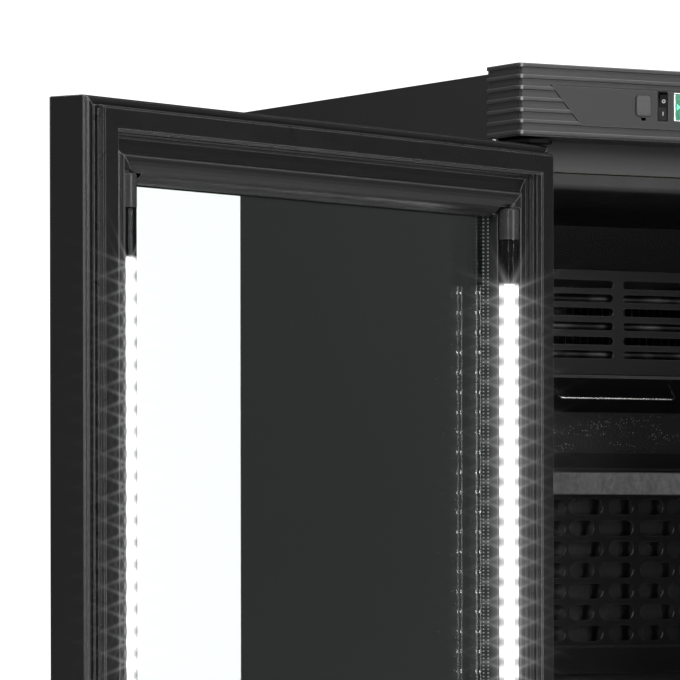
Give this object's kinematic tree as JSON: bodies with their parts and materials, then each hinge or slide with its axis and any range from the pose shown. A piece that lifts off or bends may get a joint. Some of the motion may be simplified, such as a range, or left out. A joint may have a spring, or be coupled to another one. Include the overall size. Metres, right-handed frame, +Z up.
{
  "type": "undercounter refrigerator",
  "caption": "Black glass-door undercounter display refrigerator with ribbed header, lit door stiles, slotted evaporator cover, rear air duct and pull-out shelves.",
  "frame": {"origin": "centre of the closed cabinet's footprint, on the floor the feet stand on", "axes": "+X to the right seen from the front, +Y to the back, +Z up; the door faces -Y"},
  "size_m": [1.131, 0.7656, 0.85],
  "materials": {
    "casing_paint": "semi-gloss",
    "foam": "foamed",
    "liner_black": "stucco embossed",
    "black_plastic": "fine grain",
    "galvanised": "satin",
    "switch_black": "gloss",
    "bezel_bright": "bright",
    "lcd_green": "lit",
    "pcb": "lacquered",
    "zinc": "bright",
    "black_metal": "textured",
    "aluminium": "mill",
    "wire_black": "coated",
    "rail_grey": "textured",
    "compressor_black": "gloss",
    "rubber": "matte",
    "copper": "tarnished",
    "door_plastic": "satin",
    "white_plastic": "matte",
    "glass": "clear",
    "led": "lit",
    "lens": "clear moulded",
    "grey_plastic": "satin"
  },
  "bodies": {
    "cabinet": {"outer_casing": "casing_paint", "insulation_foam": "foam", "inner_liner": "liner_black", "breaker_trim": "black_plastic", "back_panel": "galvanised", "base_pan": "galvanised", "kick_grille": "black_plastic", "rear_grille": "galvanised", "header_cover": "black_plastic", "control_panel": "black_plastic", "blank_cap": "black_plastic", "switch_housing": "switch_black", "display_bezel": "bezel_bright", "display_cell": "lcd_green", "control_board": "pcb", "header_screws": "zinc", "evaporator_cover": "black_metal", "evaporator_coil": "aluminium", "evaporator_fan_motor": "black_plastic", "drip_tray": "black_metal", "probe_guard": "zinc", "duct_panel": "black_metal", "pilasters": "black_metal", "shelf_clips": "zinc", "compressor": "compressor_black", "compressor_mounts": "rubber", "condenser_coil": "aluminium", "condenser_fan_motor": "galvanised", "evaporation_pan": "black_plastic", "filter_drier": "copper", "refrigerant_lines": "copper", "hinge_bracket_top": "black_metal", "hinge_bracket_bottom": "black_metal", "hinge_screws": "zinc", "foot_front_left": "black_plastic", "foot_front_right": "black_plastic", "foot_rear_left": "black_plastic", "foot_rear_right": "black_plastic"},
    "door": {"door_hinge_stile": "door_plastic", "door_free_stile": "door_plastic", "door_top_rail": "door_plastic", "door_bottom_rail": "door_plastic", "door_pull": "door_plastic", "hinge_bushes": "white_plastic", "outer_glass": "glass", "inner_glass": "glass", "glass_spacer": "aluminium", "door_gasket": "rubber", "led_carriers": "aluminium", "led_boards": "white_plastic", "led_chips": "led", "led_lenses": "lens", "led_end_caps": "grey_plastic"},
    "rocker_body": {"rocker": "switch_black"},
    "evaporator_fan_body": {"evaporator_fan": "black_plastic"},
    "condenser_fan_body": {"condenser_fan": "black_plastic"},
    "upper_shelf": {"shelf_upper": "wire_black", "price_rail_upper": "rail_grey"},
    "lower_shelf": {"shelf_lower": "wire_black", "price_rail_lower": "rail_grey"}
  },
  "joints": [
    {"name": "door_hinge", "type": "hinge", "parent": "cabinet", "child": "door", "pos_m": [-0.287, -0.241, 0.437], "axis": [0, 0, -1], "range_deg": [-155.6, 14.4]},
    {"name": "power_rocker", "type": "hinge", "parent": "cabinet", "child": "rocker_body", "pos_m": [-0.1603, -0.253, 0.8194], "axis": [-1, 0, 0], "range_deg": [0, 14]},
    {"name": "evaporator_fan_spin", "type": "hinge", "parent": "cabinet", "child": "evaporator_fan_body", "pos_m": [0.18, 0.137, 0.65], "axis": [0, 1, 0], "continuous": true},
    {"name": "condenser_fan_spin", "type": "hinge", "parent": "cabinet", "child": "condenser_fan_body", "pos_m": [0.13, 0.177, 0.122], "axis": [0, 1, 0], "continuous": true},
    {"name": "upper_shelf_slide", "type": "slide", "parent": "cabinet", "child": "upper_shelf", "axis": [0, -1, 0], "range_m": [0, 0.2]},
    {"name": "lower_shelf_slide", "type": "slide", "parent": "cabinet", "child": "lower_shelf", "axis": [0, -1, 0], "range_m": [0, 0.2]}
  ]
}
